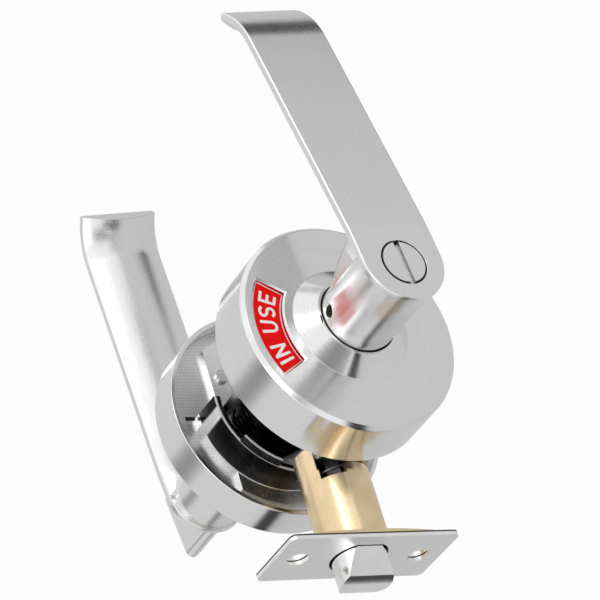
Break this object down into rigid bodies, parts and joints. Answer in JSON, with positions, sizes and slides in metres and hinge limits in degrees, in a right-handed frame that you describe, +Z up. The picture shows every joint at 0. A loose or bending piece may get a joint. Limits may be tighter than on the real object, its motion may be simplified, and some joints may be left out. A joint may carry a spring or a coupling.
{
  "type": "privacy lever lockset",
  "caption": "Privacy lever set for a toilet door: round roses, in-use indicator window, coin release, thumb turn and a sprung latch in a brass tube",
  "frame": {"origin": "on the spindle axis, in the middle plane of the latch", "axes": "-Y out of the outside face of the door, +Z up, +X along the levers away from the latch"},
  "size_m": [0.1702, 0.1554, 0.0706],
  "materials": {
    "satin_steel": "satin stainless steel",
    "plate_steel": "matt stainless steel",
    "zinc_plate": "zinc plated steel",
    "dark_metal": "black plated steel",
    "brass": "bright brass",
    "chrome": "polished chrome",
    "spring_steel": "drawn spring wire",
    "black_plastic": "moulded black",
    "red_label": "printed red",
    "green_label": "printed green"
  },
  "bodies": {
    "fixed_set": {"outside_rose": "satin_steel", "outside_plate": "zinc_plate", "outside_bush": "dark_metal", "outside_return_spring": "dark_metal", "screw_posts": "zinc_plate", "inside_rose": "satin_steel", "inside_plate": "zinc_plate", "spring_cage": "dark_metal", "cage_rivets": "chrome", "inside_bush": "dark_metal", "inside_return_spring": "dark_metal", "mounting_screws": "zinc_plate", "latch_tube": "brass", "faceplate": "plate_steel", "back_flange": "brass", "spring_washer": "zinc_plate", "latch_spring": "spring_steel"},
    "latch": {"latch_bolt": "chrome", "tail_bar": "zinc_plate", "retractor": "zinc_plate"},
    "outside_handle": {"outside_lever": "satin_steel", "outside_sleeve": "zinc_plate", "outside_clip": "spring_steel", "outside_set_screw": "dark_metal", "clutch_ring": "zinc_plate"},
    "inside_handle": {"inside_lever": "satin_steel", "inside_sleeve": "zinc_plate", "inside_clip": "spring_steel", "inside_set_screw": "dark_metal", "retractor_cam": "zinc_plate"},
    "privacy": {"turn_rod": "brass", "coin_plug": "satin_steel", "thumb_turn": "satin_steel", "drive_pin": "spring_steel", "lock_cam": "dark_metal", "indicator_disc": "black_plastic", "in_use_label": "red_label", "vacant_label": "green_label"}
  },
  "joints": [
    {"name": "outside_lever_turn", "type": "hinge", "parent": "fixed_set", "child": "outside_handle", "pos_m": [0, 0, 0], "axis": [0, 1, 0], "range_deg": [0, 50], "stiffness_Nm_per_rad": 1.2, "springref_deg": -20.05},
    {"name": "inside_lever_turn", "type": "hinge", "parent": "fixed_set", "child": "inside_handle", "pos_m": [0, 0, 0], "axis": [0, 1, 0], "range_deg": [0, 50], "stiffness_Nm_per_rad": 1.2, "springref_deg": -20.05},
    {"name": "latch_retract", "type": "slide", "parent": "fixed_set", "child": "latch", "axis": [1, 0, 0], "range_m": [0, 0.009], "stiffness_N_per_m": 300, "springref_m": -0.008, "deforming": ["latch_spring"]},
    {"name": "privacy_turn", "type": "hinge", "parent": "fixed_set", "child": "privacy", "pos_m": [0, 0, 0], "axis": [0, 1, 0], "range_deg": [0, 90]}
  ],
  "couplings": [
    {"joint": "latch_retract", "follows": "inside_lever_turn", "m_per_rad": 0.010313}
  ]
}
